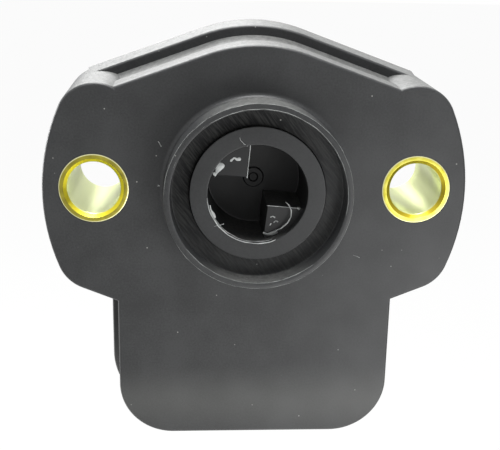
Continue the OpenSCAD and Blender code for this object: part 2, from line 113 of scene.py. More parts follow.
# Chamber behind the mating face, as in the source
FRONT_WALL = 3.0
CHAMBER_R = 11.9
LEDGE_W = 1.0
COVER_T = 1.6
COVER_STEP = 0.9
WASHER_T = 0.4
WIPER_T = 0.2
FINGER_RISE = 1.3
SEAL_SEAT_R = 9.0
SEAL_SEAT_DEPTH = 1.25

# Connector, as in the source
PLUG_DROP = 23.0
PLUG_W = 20.8
PLUG_H = 9.8
PLUG_WALL = 1.7
PLUG_CORNER = 1.3
PLUG_LEN = 11.5
PLUG_SINK = 2.0
PIN_PITCH = 5.0
PIN_W = 1.5
PIN_T = 0.64
STRAP_T = 0.6
LATCH_W = 6
LATCH_H = 1.3
LATCH_BACK = 5
LATCH_FRONT = 1.4
LATCH_RAMP = 1.1
KEY_W = 1.2
KEY_H = 1
KEY_SHORT = 1

# Pockets in the back face, as in the source
EAR_CORE_Y = 5
EAR_CORE_WALL = 2.4
EAR_CORE_SPAN = (19, 27)
TONGUE_CORE_W = 2.2
TONGUE_CORE_WALL = 1.2

# Where this shell follows the photo and the source's solid does not: a deeper channel, a rear rim
# whose ends run over the ears at this half-width, and a plate whose left side stands further in
CHANNEL_RISE = 0.45
RIM_REACH = 20.3
PLATE_INSET = 0.3

# Small rounded edges, as (size, how far the middle point is cut in)
COLLAR_LIP = (0.2, 0.06)
COLLAR_INNER_LIP = (0.1, 0.03)
BARREL_EDGE = (0.15, 0.04)
MOUTH_EDGE = (0.16, 0.05)
SOCKET_CORNER = (0.2, 0.05)
SLEEVE_EDGE = (BUSHING_EDGE, BUSHING_EDGE * 0.3)
SHROUD_EDGE = (0.3, 0.1)
LUG_EDGE = (0.12, 0.04)

# Corner between the collar's floor and its wall: points past the floor's edge and above the floor
FLOOR_CORNER = ((0.01, 0.2), (-0.05, 0.06), (-0.2, 0))

# Gate mark on the socket's floor, from its middle outwards: radius and height
GATE_MARK = ((0, 0.1), (0.45, 0.1), (0.55, 0.2), (0.62, 0.25), (1.15, 0.25), (1.25, 0.1), (1.3, 0))

# Overlap that lets a cut pass through a face, and the root of a rib or lug inside its wall
OVER = 0.5
ROOT = 0.3
LUG_ROOT = 0.25

# Levels, centres and radii that follow from the sizes
EAR_CENTRE_R = EAR_R - EAR_CORNER_R
UNDER_N = 270 - EAR_UNDER_SLOPE
UNDER_D = (EAR_UNDER_DROP - EAR_ARC_DROP) * math.cos(math.radians(EAR_UNDER_SLOPE))
EAR_BOTTOM_ANGLE = UNDER_N - 180 - math.degrees(math.acos((UNDER_D - EAR_CORNER_R) / EAR_CENTRE_R))
HUMP_Z = HUMP_H - HUMP_R
TONGUE_CX = TONGUE_W / 2 - TONGUE_CORNER_R
TONGUE_CZ = TONGUE_CORNER_R - TONGUE_DROP
SEAL_SEAT_Y = FRONT_WALL - SEAL_SEAT_DEPTH
FLANGE_Y = FRONT_WALL + WASHER_T + RUN_GAP
FLANGE_END = FLANGE_Y + FLANGE_T
STOP_END = FLANGE_END + 0.1
LUG_FACE_Y = LUG_DROP - BARREL_PROUD
SOCKET_FLOOR_Y = SOCKET_DEPTH - BARREL_PROUD
HUB_END = SOCKET_FLOOR_Y + HUB_FLOOR_T
COVER_Y = BODY_DEPTH - COVER_T
FILM_Y = HUB_END + RUN_GAP + WIPER_T + FINGER_RISE
SEAT_R = CHAMBER_R + LEDGE_W + COVER_STEP
STOP_IN_R = FLANGE_R + 0.4
STOP_LUG_R = STOP_IN_R + 1.2
BENCH_DROP = FLANGE_R + 0.5
EAR_CORE_R0 = SEAT_R + 1.8
TONGUE_CORE_Y = RIM_Y + 1
PLUG_FLOOR_Y = BODY_DEPTH - PLUG_SINK
PLUG_END_Y = BODY_DEPTH + PLUG_LEN
PLUG_TOP_Z = PLUG_H / 2 + PLUG_WALL - PLUG_DROP
PLUG_LOW_Z = -PLUG_DROP - PLUG_H / 2 - PLUG_WALL

# Fineness of the meshes: the longest step of a drawn arc, in degrees, and steps round an edge,
# along the channel, round the collar's fillet and round the turned pieces
ARC_STEP = 3.0
EDGE_STEPS = 4
CHANNEL_STEPS = 7
FILLET_STEPS = 8
COLLAR_FACETS = 160
BARREL_FACETS = 128
BUSHING_FACETS = 96

# Reach within which points are merged in a drawn outline, a profile and a turned piece, the length
# below which an edge is dropped, how near to a level a point counts as on it, and how level an edge
# has to be, all in metres
RING_MERGE = 2e-5
PROFILE_MERGE = 1e-7
TURNED_MERGE = 2e-7
NO_LENGTH = 1e-8
LEVEL_NEAR = 2e-7
EDGE_LEVEL = 1e-7

# Angles, in degrees, past which an edge of the housing and rotor, of a bushing and of a burr is sharp
SHARP = 32
SHARP_BUSHING = 30
SHARP_BURR = 60

# Ways along a turned profile, as (radius, depth)
IN = (-1, 0)
OUT = (1, 0)
FRONT = (0, -1)
BACK = (0, 1)


# Drawing with Blender's operators

def polar(r, a):
    """Point at a radius and an angle about the rotor's axis, as x and z."""
    return (r * math.cos(math.radians(a)), r * math.sin(math.radians(a)))


def quarter(n):
    """The angles of a quarter turn in n steps, in radians."""
    return [math.pi / 2 * i / n for i in range(n + 1)]


def deselect():
    if bpy.context.object and bpy.context.object.mode != "OBJECT":
        bpy.ops.object.mode_set(mode="OBJECT")
    bpy.ops.object.select_all(action="DESELECT")


def pick(obj):
    """Select one object alone and make it the active one."""
    deselect()
    obj.select_set(True)
    bpy.context.view_layer.objects.active = obj


def start(name, point):
    """A new mesh that holds one selected vertex at point, left open in edit mode."""
    deselect()
    bpy.ops.mesh.primitive_plane_add(size=MM)
    obj = bpy.context.object
    obj.name = obj.data.name = name
    bpy.ops.object.mode_set(mode="EDIT")
    bpy.ops.mesh.select_mode(type="VERT")
    bpy.ops.mesh.select_all(action="SELECT")
    bpy.ops.mesh.merge(type="CENTER")
    bpy.ops.transform.translate(value=[c * MM for c in point])
    return obj


def line(move):
    """Draw an edge from the selected vertex and select its far end."""
    bpy.ops.mesh.extrude_region_move(TRANSFORM_OT_translate={"value": [c * MM for c in move]})


class Pen:
    """Draws a chain of straight stretches and arcs in the XZ plane at one depth."""

    def __init__(self, at, y):
        self.at = at
        self.y = y
        self.obj = start("ring", (at[0], y, at[1]))

    def to(self, x, z):
        if abs(x - self.at[0]) + abs(z - self.at[1]) > 1e-4:
            line((x - self.at[0], 0, z - self.at[1]))
            self.at = (x, z)

    def arc(self, centre, r, a0, a1):
        px, pz = polar(r, a0)
        self.to(centre[0] + px, centre[1] + pz)
        steps = max(1, math.ceil(abs(a1 - a0) / ARC_STEP))
        bpy.ops.mesh.spin(steps=steps, angle=math.radians(a1 - a0), dupli=False,
                          center=(centre[0] * MM, self.y * MM, centre[1] * MM), axis=(0, 1, 0))
        px, pz = polar(r, a1)
        self.at = (centre[0] + px, centre[1] + pz)

    def close(self):
        bpy.ops.mesh.select_all(action="SELECT")
        bpy.ops.mesh.remove_doubles(threshold=RING_MERGE)
        bpy.ops.object.mode_set(mode="OBJECT")
        return self.obj


def join(objs, name):
    deselect()
    for o in objs:
        o.select_set(True)
    bpy.context.view_layer.objects.active = objs[0]
    if len(objs) > 1:
        bpy.ops.object.join()
    obj = bpy.context.object
    obj.name = obj.data.name = name
    return obj


def pick_edges(obj, test):
    """Select the edges whose two ends pass the test, with edit mode left on."""
    bpy.ops.mesh.select_mode(type="EDGE")
    bpy.ops.mesh.select_all(action="DESELECT")
    bpy.ops.object.mode_set(mode="OBJECT")
    verts = obj.data.vertices
    for e in obj.data.edges:
        e.select = test(verts[e.vertices[0]].co, verts[e.vertices[1]].co)
    bpy.ops.object.mode_set(mode="EDIT")


def outward():
    """Point all faces outwards and leave edit mode."""
    bpy.ops.mesh.select_all(action="SELECT")
    bpy.ops.mesh.normals_make_consistent(inside=False)
    bpy.ops.object.mode_set(mode="OBJECT")


def on_level(point, *levels):
    """Whether a point lies at one of these depths."""
    return min(abs(point.y - y) for y in levels) < LEVEL_NEAR


def skin(rings, name):
    """Bridge rings of the same count from first to last and close both ends."""
    depths = [r.data.vertices[0].co.y for r in rings]
    obj = join(rings, name)
    bpy.ops.object.mode_set(mode="EDIT")
    for y0, y1 in zip(depths, depths[1:]):
        pick_edges(obj, lambda a, b: on_level(a, y0, y1) and on_level(b, y0, y1)
                   and abs(a.y - b.y) < EDGE_LEVEL)
        bpy.ops.mesh.bridge_edge_loops()
    for y in (depths[0], depths[-1]):
        pick_edges(obj, lambda a, b: on_level(a, y) and on_level(b, y))
        bpy.ops.mesh.edge_face_add()
    outward()
    return obj


def turned(name, profile, steps):
    """Solid of revolution about Y through the origin, from (radius, depth) points."""
    obj = start(name, (profile[0][0], profile[0][1], 0))
    for p, q in zip(profile, profile[1:] + profile[:1]):
        line((q[0] - p[0], q[1] - p[1], 0))
    bpy.ops.mesh.select_all(action="SELECT")
    bpy.ops.mesh.remove_doubles(threshold=PROFILE_MERGE)
    bpy.ops.mesh.select_all(action="SELECT")
    bpy.ops.mesh.spin(steps=steps, angle=2 * math.pi, center=(0, 0, 0), axis=(0, 1, 0))
    bpy.ops.mesh.select_all(action="SELECT")
    bpy.ops.mesh.remove_doubles(threshold=TURNED_MERGE)
    bpy.ops.mesh.select_all(action="SELECT")
    bpy.ops.mesh.dissolve_degenerate(threshold=NO_LENGTH)
    outward()
    return obj


def rounded(r, y, edge, first, last):
    """Three points round the corner at (r, y) of a turned profile, between its two ways out."""
    size, cut = edge
    return [(r + size * first[0], y + size * first[1]),
            (r + cut * (first[0] + last[0]), y + cut * (first[1] + last[1])),
            (r + size * last[0], y + size * last[1])]


def shift(obj, x=0.0, y=0.0, z=0.0):
    """Move the mesh itself, so that the object stays at the origin."""
    pick(obj)
    bpy.ops.object.mode_set(mode="EDIT")
    bpy.ops.mesh.select_all(action="SELECT")
    bpy.ops.transform.translate(value=(x * MM, y * MM, z * MM))
    bpy.ops.object.mode_set(mode="OBJECT")
    return obj


def turn(obj, degrees):
    """Turn the mesh about Y, seen from the front: positive is anticlockwise."""
    pick(obj)
    bpy.ops.object.mode_set(mode="EDIT")
    bpy.ops.mesh.select_all(action="SELECT")
    bpy.ops.transform.rotate(value=math.radians(degrees), orient_axis="Y", orient_type="GLOBAL",
                             center_override=(0, 0, 0))
    bpy.ops.object.mode_set(mode="OBJECT")
    return obj


def block(name, x0, x1, y0, y1, z0, z1):
    """A straight block between two corners, as a tool or as the start of a piece."""
    deselect()
    bpy.ops.mesh.primitive_cube_add(size=MM)
    obj = bpy.context.object
    obj.name = obj.data.name = name
    bpy.ops.object.mode_set(mode="EDIT")
    bpy.ops.mesh.select_all(action="SELECT")
    bpy.ops.transform.resize(value=(x1 - x0, y1 - y0, z1 - z0))
    bpy.ops.transform.translate(value=((x0 + x1) / 2 * MM, (y0 + y1) / 2 * MM, (z0 + z1) / 2 * MM))
    bpy.ops.object.mode_set(mode="OBJECT")
    return obj


def combine(obj, others, operation):
    """Unite or cut, one tool at a time, and remove the tools."""
    for other in others:
        pick(obj)
        mod = obj.modifiers.new("combine", "BOOLEAN")
        mod.operation = operation
        mod.solver = "EXACT"
        mod.object = other
        bpy.ops.object.modifier_apply(modifier=mod.name)
        bpy.data.objects.remove(other, do_unlink=True)
    return obj


def finish_mesh(obj, angle=SHARP, weighted=True):
    """Shade smooth up to an angle, with normals that keep the large faces flat."""
    pick(obj)
    bpy.ops.object.shade_smooth_by_angle(angle=math.radians(angle))
    if weighted:
        mod = obj.modifiers.new("even", "WEIGHTED_NORMAL")
        mod.keep_sharp = True
        mod.weight = 60
        bpy.ops.object.modifier_apply(modifier=mod.name)
    return obj


# Outlines of the housing

def ear_ring(y, g):
    """Outline of the two ears, grown by g."""
    r = EAR_CORNER_R + g
    d = EAR_ARC_DROP
    top = polar(EAR_CENTRE_R, EAR_TOP_ANGLE)
    low = polar(EAR_CENTRE_R, -EAR_BOTTOM_ANGLE)
    top = (top[0], top[1] - d)
    low = (low[0], low[1] - d)
    first = polar(EAR_R + g, -EAR_BOTTOM_ANGLE)
    pen = Pen((first[0], first[1] - d), y)
    pen.arc((0, -d), EAR_R + g, -EAR_BOTTOM_ANGLE, EAR_TOP_ANGLE)
    pen.arc(top, r, EAR_TOP_ANGLE, EAR_CREST_ANGLE)
    pen.arc((-top[0], top[1]), r, 180 - EAR_CREST_ANGLE, 180 - EAR_TOP_ANGLE)
    pen.arc((0, -d), EAR_R + g, 180 - EAR_TOP_ANGLE, 180 + EAR_BOTTOM_ANGLE)
    pen.arc((-low[0], low[1]), r, 180 + EAR_BOTTOM_ANGLE, UNDER_N)
    pen.to(0, -d - (UNDER_D + g) / math.cos(math.radians(EAR_UNDER_SLOPE)))
    pen.arc(low, r, 540 - UNDER_N, 360 - EAR_BOTTOM_ANGLE)
    return pen.close()


def meet(a1, d1, a2, d2):
    """Where two lines meet, each given by its normal's angle and its distance from the axis."""
    a1, a2 = math.radians(a1), math.radians(a2)
    s = math.sin(a2 - a1)
    return ((d1 * math.sin(a2) - d2 * math.sin(a1)) / s, (d2 * math.cos(a1) - d1 * math.cos(a2)) / s)


def column_side(half, slope_d, reach):
    """Points up one side of the column, which may reach out over the ear."""
    if not reach:
        return [meet(0, half, 90 - HUMP_SLOPE, slope_d)]
    slope = math.radians(HUMP_SLOPE)
    return [(half, 0), (reach, 0), (reach, (slope_d - reach * math.sin(slope)) / math.cos(slope))]


def column_ring(y, g, reach=0.0, inset=0.0):
    """Outline of the hump and the tongue, grown by g, with its left side moved in by inset."""
    cx = TONGUE_CX - max(0.0, g) * RIM_SIDE_CUT
    r = TONGUE_CORNER_R + g
    slope_d = HUMP_Z * math.cos(math.radians(HUMP_SLOPE)) + HUMP_R + g
    side = column_side(cx + r, slope_d, reach)
    pen = Pen(side[0], y)
    for point in side[1:]:
        pen.to(*point)
    pen.arc((0, HUMP_Z), HUMP_R + g, 90 - HUMP_SLOPE, 90 + HUMP_SLOPE)
    for x, z in column_side(cx + r - inset, slope_d, reach)[::-1]:
        pen.to(-x, z)
    pen.arc((-cx, TONGUE_CZ - inset), r - inset, 180, 270)
    pen.arc((cx, TONGUE_CZ), r, 270, 360)
    pen.to(*side[0])
    return pen.close()


def plug_ring(y, w, h, r):
    """Outline of the connector: a rectangle with rounded corners."""
    cx, cz = w / 2 - r, h / 2 - r
    pen = Pen((cx + r, -PLUG_DROP + cz), y)
    pen.arc((cx, -PLUG_DROP + cz), r, 0, 90)
    pen.arc((-cx, -PLUG_DROP + cz), r, 90, 180)
    pen.arc((-cx, -PLUG_DROP - cz), r, 180, 270)
    pen.arc((cx, -PLUG_DROP - cz), r, 270, 360)
    pen.to(cx + r, -PLUG_DROP + cz)
    return pen.close()


def sector_ring(y, r0, r1, a0, a1):
    """Outline of a sector between two radii about the rotor's axis."""
    pen = Pen(polar(r1, a0), y)
    pen.arc((0, 0), r1, a0, a1)
    pen.arc((0, 0), r0, a1, a0)
    pen.to(*polar(r1, a0))
    return pen.close()


def bench_ring(y, r):
    """Outline of what the bench's flat top cuts off a circle about the rotor's axis."""
    chord = math.degrees(math.acos(BENCH_DROP / r))
    pen = Pen(polar(r, 270 - chord), y)
    pen.arc((0, 0), r, 270 - chord, 270 + chord)
    pen.to(*polar(r, 270 - chord))
    return pen.close()


def steps_front(y, g):
    """Depths and growths that round a front edge."""
    return [(y + EDGE_R * (1 - math.cos(a)), g - EDGE_R * (1 - math.sin(a)))
            for a in quarter(EDGE_STEPS)]


def steps_rear(y, g):
    """Depths and growths that round a rear edge."""
    return [(y - EDGE_R * (1 - math.sin(a)), g - EDGE_R * (1 - math.cos(a)))
            for a in quarter(EDGE_STEPS)]


def channel_steps():
    """Depths and growths of the channel's floor, which curves up towards the rim."""
    start_y = PLATE_T - OVER
    rise = CHANNEL_RISE + CHANNEL_DIP
    out = []
    for i in range(CHANNEL_STEPS + 1):
        y = start_y + (RIM_Y + OVER - start_y) * i / CHANNEL_STEPS
        s = max(0.0, y - PLATE_T) / (RIM_Y - PLATE_T)
        out.append((y, min(CHANNEL_RISE, rise * s * s - CHANNEL_DIP)))
    return out


# What the housing is joined from

def ears():
    """Both ears in one flange, from the mating face to the back."""
    return skin([ear_ring(y, g) for y, g in steps_front(0, 0) + steps_rear(BODY_DEPTH, EAR_DRAFT)],
                "housing_shell")


def column():
    """Plate, waist and rear rim of the hump and the tongue."""
    plate = skin([column_ring(y, g, inset=PLATE_INSET)
                  for y, g in steps_front(0, 0) + steps_rear(PLATE_T, EDGE_R / 2)], "plate")
    waist = skin([column_ring(y, g, inset=PLATE_INSET) for y, g in channel_steps()], "waist")
    rim = skin([column_ring(y, g, RIM_REACH + g - RIM_OUT) for y, g in
                steps_front(RIM_Y, RIM_OUT) + steps_rear(BODY_DEPTH, RIM_OUT + RIM_DRAFT)], "rim")
    return [plate, waist, rim]


def collar():
    """Pilot collar: a fillet at its foot, a rounded lip and a flat floor inside it."""
    inner = COLLAR_R - COLLAR_RIM_T
    foot = [(COLLAR_R + COLLAR_FILLET * (1 - math.sin(a)), -COLLAR_FILLET * (1 - math.cos(a)))
            for a in quarter(FILLET_STEPS)]
    lip = rounded(COLLAR_R, -COLLAR_H, COLLAR_LIP, BACK, IN)
    lip += rounded(inner, -COLLAR_H, COLLAR_INNER_LIP, OUT, BACK)
    floor_edge = [(COLLAR_FLOOR_R + out, COLLAR_FLOOR_Y - up) for out, up in FLOOR_CORNER]
    root = [(BARREL_R - OVER, OVER), (COLLAR_R + COLLAR_FILLET, OVER)]
    return turned("collar", root + foot + lip + floor_edge + [(BARREL_R - OVER, COLLAR_FLOOR_Y)],
                  COLLAR_FACETS)


def shroud():
    """Outer wall of the connector, with the edge of its mouth rounded."""
    wall = [(0, PLUG_FLOOR_Y - OVER)] + rounded(0, PLUG_END_Y, SHROUD_EDGE, FRONT, IN)
    return skin([plug_ring(y, PLUG_W + 2 * PLUG_WALL + 2 * g, PLUG_H + 2 * PLUG_WALL + 2 * g,
                           PLUG_CORNER + PLUG_WALL + g) for g, y in wall], "shroud")


def latch():
    """Ramp on the shroud that a plug's latch snaps over."""
    ramp = block("latch", -LATCH_W / 2, LATCH_W / 2, PLUG_END_Y - LATCH_BACK, PLUG_END_Y - LATCH_FRONT,
                 PLUG_TOP_Z - OVER, PLUG_TOP_Z + LATCH_H)
    middle = PLUG_END_Y - (LATCH_BACK + LATCH_FRONT) / 2
    bpy.ops.object.mode_set(mode="EDIT")
    pick_edges(ramp, lambda a, b: min(a.z, b.z) > PLUG_TOP_Z * MM and min(a.y, b.y) > middle * MM)
    bpy.ops.mesh.bevel(offset=LATCH_RAMP * MM, segments=1, offset_type="OFFSET")
    bpy.ops.object.mode_set(mode="OBJECT")
    return ramp


def keys():
    """Two keys under the shroud that stop a plug going in upside down."""
    return [block("key", x * PLUG_W / 3 - KEY_W / 2, x * PLUG_W / 3 + KEY_W / 2, BODY_DEPTH - OVER,
                  PLUG_END_Y - KEY_SHORT, PLUG_LOW_Z - KEY_H, PLUG_LOW_Z + OVER) for x in (-1, 1)]


# What is cut out of the housing

def chamber():
    """Space from the drive opening, past the seal's seat, back to the seat of the rear cover."""
    clear = BARREL_R + BARREL_CLEAR
    return turned("chamber", [
        (0, -COLLAR_H - OVER), (clear, -COLLAR_H - OVER), (clear, SEAL_SEAT_Y),
        (SEAL_SEAT_R, SEAL_SEAT_Y), (SEAL_SEAT_R, FRONT_WALL), (CHAMBER_R, FRONT_WALL),
        (CHAMBER_R, FILM_Y), (CHAMBER_R + LEDGE_W, FILM_Y), (CHAMBER_R + LEDGE_W, COVER_Y),
        (SEAT_R, COVER_Y), (SEAT_R, BODY_DEPTH + OVER), (0, BODY_DEPTH + OVER)], BARREL_FACETS)


def cavity():
    """Space inside the connector."""
    return skin([plug_ring(y, PLUG_W, PLUG_H, PLUG_CORNER) for y in (PLUG_FLOOR_Y, PLUG_END_Y + OVER)],
                "cavity")


def bores():
    """Holes that the two bushings sit in."""
    profile = [(0, -OVER), (BUSHING_R, -OVER), (BUSHING_R, BODY_DEPTH + OVER), (0, BODY_DEPTH + OVER)]
    return [shift(turned("bore", profile, BUSHING_FACETS), x=side * HOLE_SPACING / 2)
            for side in (-1, 1)]


def slots():
    """Slots that the three terminals pass through to the connector."""
    return [block("slot", i * PIN_PITCH - PIN_W / 2, i * PIN_PITCH + PIN_W / 2, FILM_Y - STRAP_T,
                  PLUG_FLOOR_Y + OVER, -PLUG_DROP - PIN_T / 2, -PLUG_DROP + PIN_T / 2)
            for i in (-1, 0, 1)]


def pockets():
    """Pockets in the back that keep the ears and the tongue from sinking as they cool."""
    a0, a1 = EAR_CORE_SPAN
    made = []
    for side in (0, 180):
        for low, high in ((a0, a1), (-a1, -a0)):
            made.append(skin([sector_ring(y, EAR_CORE_R0, EAR_R - EAR_CORE_WALL, side + low, side + high)
                              for y in (EAR_CORE_Y, BODY_DEPTH + OVER)], "pocket"))
    half = TONGUE_CORE_W / 2
    for x in (-1, 1):
        cx = x * (PLUG_W / 2 + PLUG_WALL + half + TONGUE_CORE_WALL)
        made.append(block("pocket", cx - half, cx + half, TONGUE_CORE_Y, BODY_DEPTH + OVER,
                          -PLUG_DROP - PLUG_H / 2, -PLUG_DROP + PLUG_H / 2))
    return made


# What stands inside the chamber

def ribs():
    """Ribs that stop the rotor a little past both ends of its travel."""
    low = STOP_LUG_ANGLE - STOP_LUG_W / 2 - STOP_ROOM
    high = STOP_LUG_ANGLE + ROTOR_TRAVEL + STOP_LUG_W / 2 + STOP_ROOM
    return [skin([sector_ring(y, STOP_IN_R, CHAMBER_R + ROOT, a0, a1)
                  for y in (FRONT_WALL - ROOT, STOP_END)], "rib")
            for a0, a1 in ((low - STOP_W, low), (high, high + STOP_W))]


def bench():
    """Bench under the ends of the terminals."""
    return skin([bench_ring(y, CHAMBER_R + ROOT) for y in (FRONT_WALL - ROOT, FILM_Y)], "bench")


def build_shell():
    """The housing: its solids joined, the hollows cut, then ribs and bench set in the chamber."""
    body = ears()
    combine(body, column() + [collar(), shroud(), latch()] + keys(), "UNION")
    combine(body, [chamber(), cavity()] + bores() + slots() + pockets(), "DIFFERENCE")
    combine(body, ribs() + [bench()], "UNION")
    return finish_mesh(body)


# Rotor and bushings

def drive_lug(angle):
    """One drive lug: a corner piece of the socket's circle, with its upper edges broken."""
    r = SOCKET_R + LUG_ROOT
    a0 = math.degrees(math.asin(LUG_SHELF / r))
    a1 = math.degrees(math.acos(LUG_SIDE / r))
    rings = []
    size, middle = LUG_EDGE
    for y, cut in ((LUG_FACE_Y, size), (LUG_FACE_Y + middle, middle), (LUG_FACE_Y + size, 0.0),
                   (SOCKET_FLOOR_Y + ROOT, 0.0)):
        pen = Pen((LUG_SIDE + cut, -LUG_SHELF - cut), y)
        pen.arc((0, 0), r, -a1, -a0)
        pen.to(LUG_SIDE + cut, -LUG_SHELF - cut)
        rings.append(pen.close())
    return turn(skin(rings, "lug"), angle)


def build_rotor():
    """Barrel with the drive socket, its two lugs, the flange with its stop lug, and the hub."""
    mouth = rounded(SOCKET_R, -BARREL_PROUD, MOUTH_EDGE, BACK, OUT)
    rim = rounded(BARREL_R, -BARREL_PROUD, BARREL_EDGE, IN, BACK)
    flange = [(BARREL_R, FLANGE_Y), (FLANGE_R, FLANGE_Y), (FLANGE_R, FLANGE_END), (HUB_R, FLANGE_END)]
    hub = [(HUB_R, HUB_END), (PIVOT_HOLE_R, HUB_END), (PIVOT_HOLE_R, HUB_END - PIVOT_HOLE_DEPTH),
           (0, HUB_END - PIVOT_HOLE_DEPTH)]
    socket = [(r, SOCKET_FLOOR_Y - h) for r, h in GATE_MARK]
    socket += rounded(SOCKET_R, SOCKET_FLOOR_Y, SOCKET_CORNER, IN, FRONT)
    obj = turned("rotor_shell", mouth[2:] + rim + flange + hub + socket + mouth[:2], BARREL_FACETS)
    lugs = [turn(drive_lug(angle), -REST_TURN) for angle in (0, 180)]
    stop = skin([sector_ring(y, FLANGE_R - ROOT, STOP_LUG_R, STOP_LUG_ANGLE - STOP_LUG_W / 2,
                             STOP_LUG_ANGLE + STOP_LUG_W / 2) for y in (FLANGE_Y, FLANGE_END)], "stop")
    combine(obj, lugs + [stop], "UNION")
    return finish_mesh(obj)


def build_bushing(side):
    """One turned sleeve, with a cone at both ends of its hole."""
    name = "bushing_" + ("left" if side < 0 else "right") + "_turned"
    cone_r = BUSHING_BORE_R + BUSHING_CHAMFER
    front = [(cone_r, 0)] + rounded(BUSHING_R, 0, SLEEVE_EDGE, IN, BACK)
    rear = rounded(BUSHING_R, BODY_DEPTH, SLEEVE_EDGE, FRONT, IN) + [(cone_r, BODY_DEPTH)]
    hole = [(BUSHING_BORE_R, BODY_DEPTH - BUSHING_CHAMFER), (BUSHING_BORE_R, BUSHING_CHAMFER)]
    obj = turned(name, front + rear + hole, BUSHING_FACETS)
    shift(obj, x=side * HOLE_SPACING / 2)
    return finish_mesh(obj, SHARP_BUSHING)


# Burrs, flash and chips of plastic

# Degrees between the points of a flash, how far it wanders, and its least and its end thickness as
# shares of its full one
FLASH_STEP = 5
FLASH_WANDER = 0.03
FLASH_THIN = 0.45
FLASH_END = 0.3


def strand(name, points, radii, flat=1.0, smooth=2):
    """A thin closed piece along a path: a thread of burr, a flake or a crumb.

    points are (x, y, z) and radii are half-thicknesses, one a point; flat squeezes it towards its depth.
    smooth is how many times its faces are divided.
    """
    obj = start(name, points[0])
    for p, q in zip(points, points[1:]):
        line([b - a for a, b in zip(p, q)])
    bpy.ops.object.mode_set(mode="OBJECT")
    bpy.ops.object.modifier_add(type="SKIN")
    for v, r in zip(obj.data.skin_vertices[0].data, radii):
        v.radius = (r * MM, r * MM)
    bpy.ops.object.modifier_apply(modifier=obj.modifiers[0].name)
    mod = obj.modifiers.new("round", "SUBSURF")
    mod.levels = smooth
    bpy.ops.object.modifier_apply(modifier=mod.name)
    bpy.ops.object.mode_set(mode="EDIT")
    if flat != 1.0:
        deep = sum(p[1] for p in points) / len(points)
        bpy.ops.mesh.select_all(action="SELECT")
        bpy.ops.transform.resize(value=(1, flat, 1), center_override=(0, deep * MM, 0))
    outward()
    return finish_mesh(obj, SHARP_BURR, weighted=False)


def on_lug(name, points, radii, flat=1.0):
    """A strand that lies at the level of the drive lugs' faces, from (x, z) points."""
    return strand(name, [(x, LUG_FACE_Y, z) for x, z in points], radii, flat)


def arc_strand(name, r, y, a0, a1, radius, seed):
    """A strand along an arc about the rotor's axis, with an uneven thickness."""
    dice = random.Random(seed)
    count = int((a1 - a0) / FLASH_STEP)
    points = []
    for i in range(count + 1):
        px, pz = polar(r + dice.uniform(-FLASH_WANDER, FLASH_WANDER), a0 + (a1 - a0) * i / count)
        points.append((px, y, pz))
    radii = [radius * dice.uniform(FLASH_THIN, 1.0) for _ in points]
    radii[0] = radii[-1] = radius * FLASH_END
    return strand(name, points, radii, smooth=1)


def build_burrs():
    """Flash, threads and crumbs of plastic that the photo shows on the rotor's lugs and mouth."""
    pieces = [
        on_lug("lug_flake", [(-5.15, 1.95), (-4.75, 2.2), (-4.5, 2.8), (-4.15, 3.5)],
               (0.5, 0.74, 0.5, 0.12), 0.28),
        on_lug("lug_smear", [(-3.2, 3.55), (-2.75, 4.0), (-2.4, 3.8), (-1.95, 3.9)],
               (0.16, 0.24, 0.2, 0.1), 0.3),
        on_lug("lug_knob", [(4.7, -1.95), (4.9, -1.95), (5.1, -2.1)], (0.2, 0.3, 0.12)),
        strand("curled_thread", [(3.35, -1.3, -1.2), (3.75, -1.5, -1.55), (4.0, -1.7, -2.1),
                                 (3.98, -1.75, -2.9), (3.55, -1.7, -3.7), (2.9, -1.6, -4.3),
                                 (2.0, -1.4, -4.8), (1.2, -1.3, -5.1)],
               (0.03, 0.05, 0.07, 0.08, 0.08, 0.08, 0.07, 0.05)),
        on_lug("mouth_smear", [(0.75, -4.95), (1.3, -5.2), (2.0, -5.05), (2.5, -4.75)],
               (0.16, 0.3, 0.26, 0.12), 0.5),
        on_lug("crumb_a", [(1.6, -3.1), (1.9, -2.95), (2.2, -3.15)], (0.06, 0.1, 0.05), 0.6),
        on_lug("crumb_b", [(2.0, -3.75), (2.25, -3.5), (2.55, -3.65)], (0.05, 0.09, 0.05), 0.6),
        on_lug("crumb_c", [(1.55, -4.1), (1.75, -3.8)], (0.05, 0.09), 0.6),
        strand("mouth_flake", [(-5.5, -2.45, -1.3), (-5.4, -2.45, -1.85), (-5.1, -2.45, -2.45),
                               (-4.95, -2.45, -2.9)], (0.08, 0.2, 0.24, 0.08), 0.5),
        strand("cross_hair_a", [(-5.0, -2.63, -3.8), (-4.4, -2.66, -3.62), (-3.85, -2.6, -3.5)],
               (0.025, 0.04, 0.02)),
        strand("cross_hair_b", [(-4.6, -2.62, -3.4), (-4.3, -2.66, -3.7)], (0.02, 0.035)),
        strand("ring_hair", [(-2.2, -2.62, 6.65), (-2.1, -2.66, 6.3), (-1.75, -2.64, 5.95),
                             (-1.3, -2.5, 5.6)], (0.02, 0.03, 0.03, 0.03)),
        arc_strand("mouth_flash", SOCKET_R + 0.1, -BARREL_PROUD, 184, 292, 0.09, seed=3),
        arc_strand("mouth_flash_inner", SOCKET_R - 0.04, 0.25 - BARREL_PROUD, 208, 288, 0.06, seed=5),
    ]
    edges = [
        on_lug("lug_edge_left", [(-LUG_SIDE, z) for z in (1.5, 1.7, 3.2, 4.6, 5.5)],
               (0.09, 0.06, 0.04, 0.06, 0.05)),
        on_lug("lug_edge_right", [(x, -LUG_SHELF) for x in (LUG_SIDE, 2.2, 3.6, 5.0)],
               (0.05, 0.05, 0.04, 0.05)),
    ]
    return pieces + [turn(o, -REST_TURN) for o in edges]


